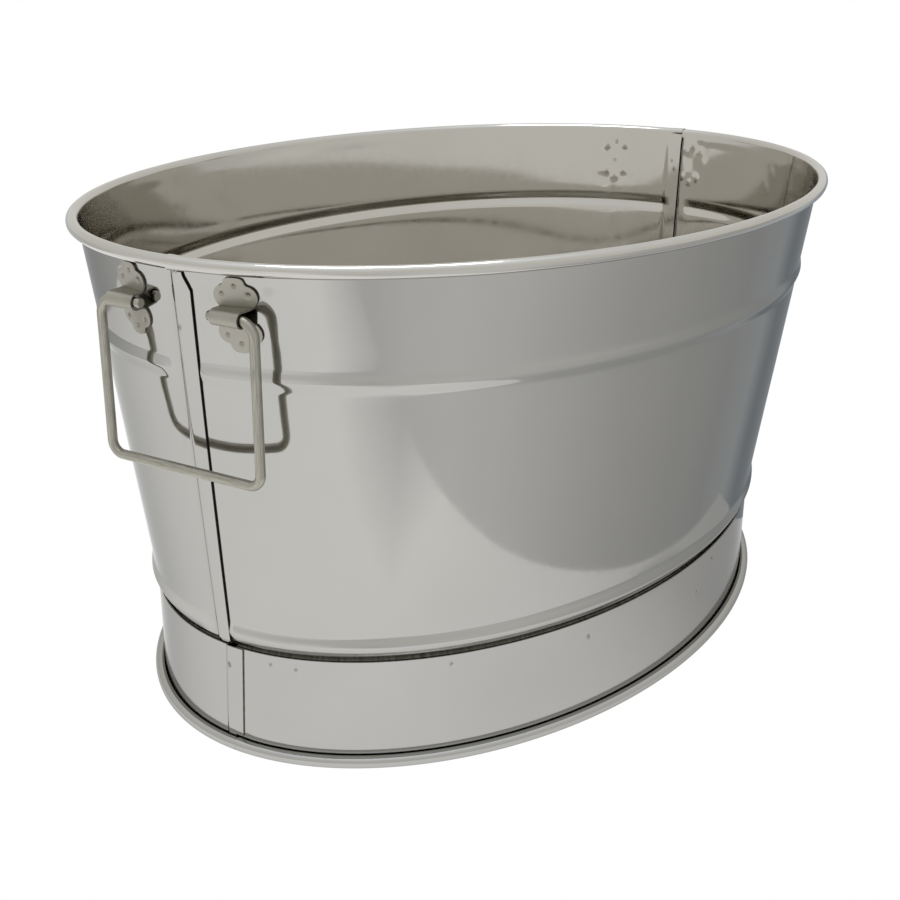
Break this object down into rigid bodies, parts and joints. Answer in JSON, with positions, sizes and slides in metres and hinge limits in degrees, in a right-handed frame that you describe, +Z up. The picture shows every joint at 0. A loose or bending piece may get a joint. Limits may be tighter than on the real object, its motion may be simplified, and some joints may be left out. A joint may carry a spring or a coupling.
{
  "type": "oval drinks tub",
  "caption": "Oval polished steel ice tub with a flared wall, a wired rim, a base band, a raised floor and a swinging wire bail handle at each end.",
  "frame": {"origin": "on the ground plane, under the middle of the tub", "axes": "+Z up out of the mouth; X along the long axis, with a handle at each end; Y across the tub"},
  "size_m": [0.56, 0.393, 0.2695],
  "materials": {
    "polished_steel": "mirror-polished stainless sheet",
    "band_steel": "polished stainless sheet, slightly softer than the wall",
    "satin_steel": "satin stainless rod and pressed plate",
    "wire_steel": "drawn wire, closed inside the rolled edges"
  },
  "bodies": {
    "tub": {"back_wall_panel": "polished_steel", "front_wall_panel": "polished_steel", "back_base_band": "band_steel", "front_base_band": "band_steel", "floor_pan": "polished_steel", "rim_wire": "wire_steel", "foot_wire": "wire_steel", "right_front_hinge_strap": "satin_steel", "right_back_hinge_strap": "satin_steel", "left_front_hinge_strap": "satin_steel", "left_back_hinge_strap": "satin_steel"},
    "left_handle": {"left_handle": "satin_steel"},
    "right_handle": {"right_handle": "satin_steel"}
  },
  "joints": [
    {"name": "left_handle_swing", "type": "hinge", "parent": "tub", "child": "left_handle", "pos_m": [-0.2755, 0, 0.2446], "axis": [0, 1, 0], "range_deg": [-6, 175]},
    {"name": "right_handle_swing", "type": "hinge", "parent": "tub", "child": "right_handle", "pos_m": [0.2755, 0, 0.2446], "axis": [0, -1, 0], "range_deg": [-6, 175]}
  ]
}
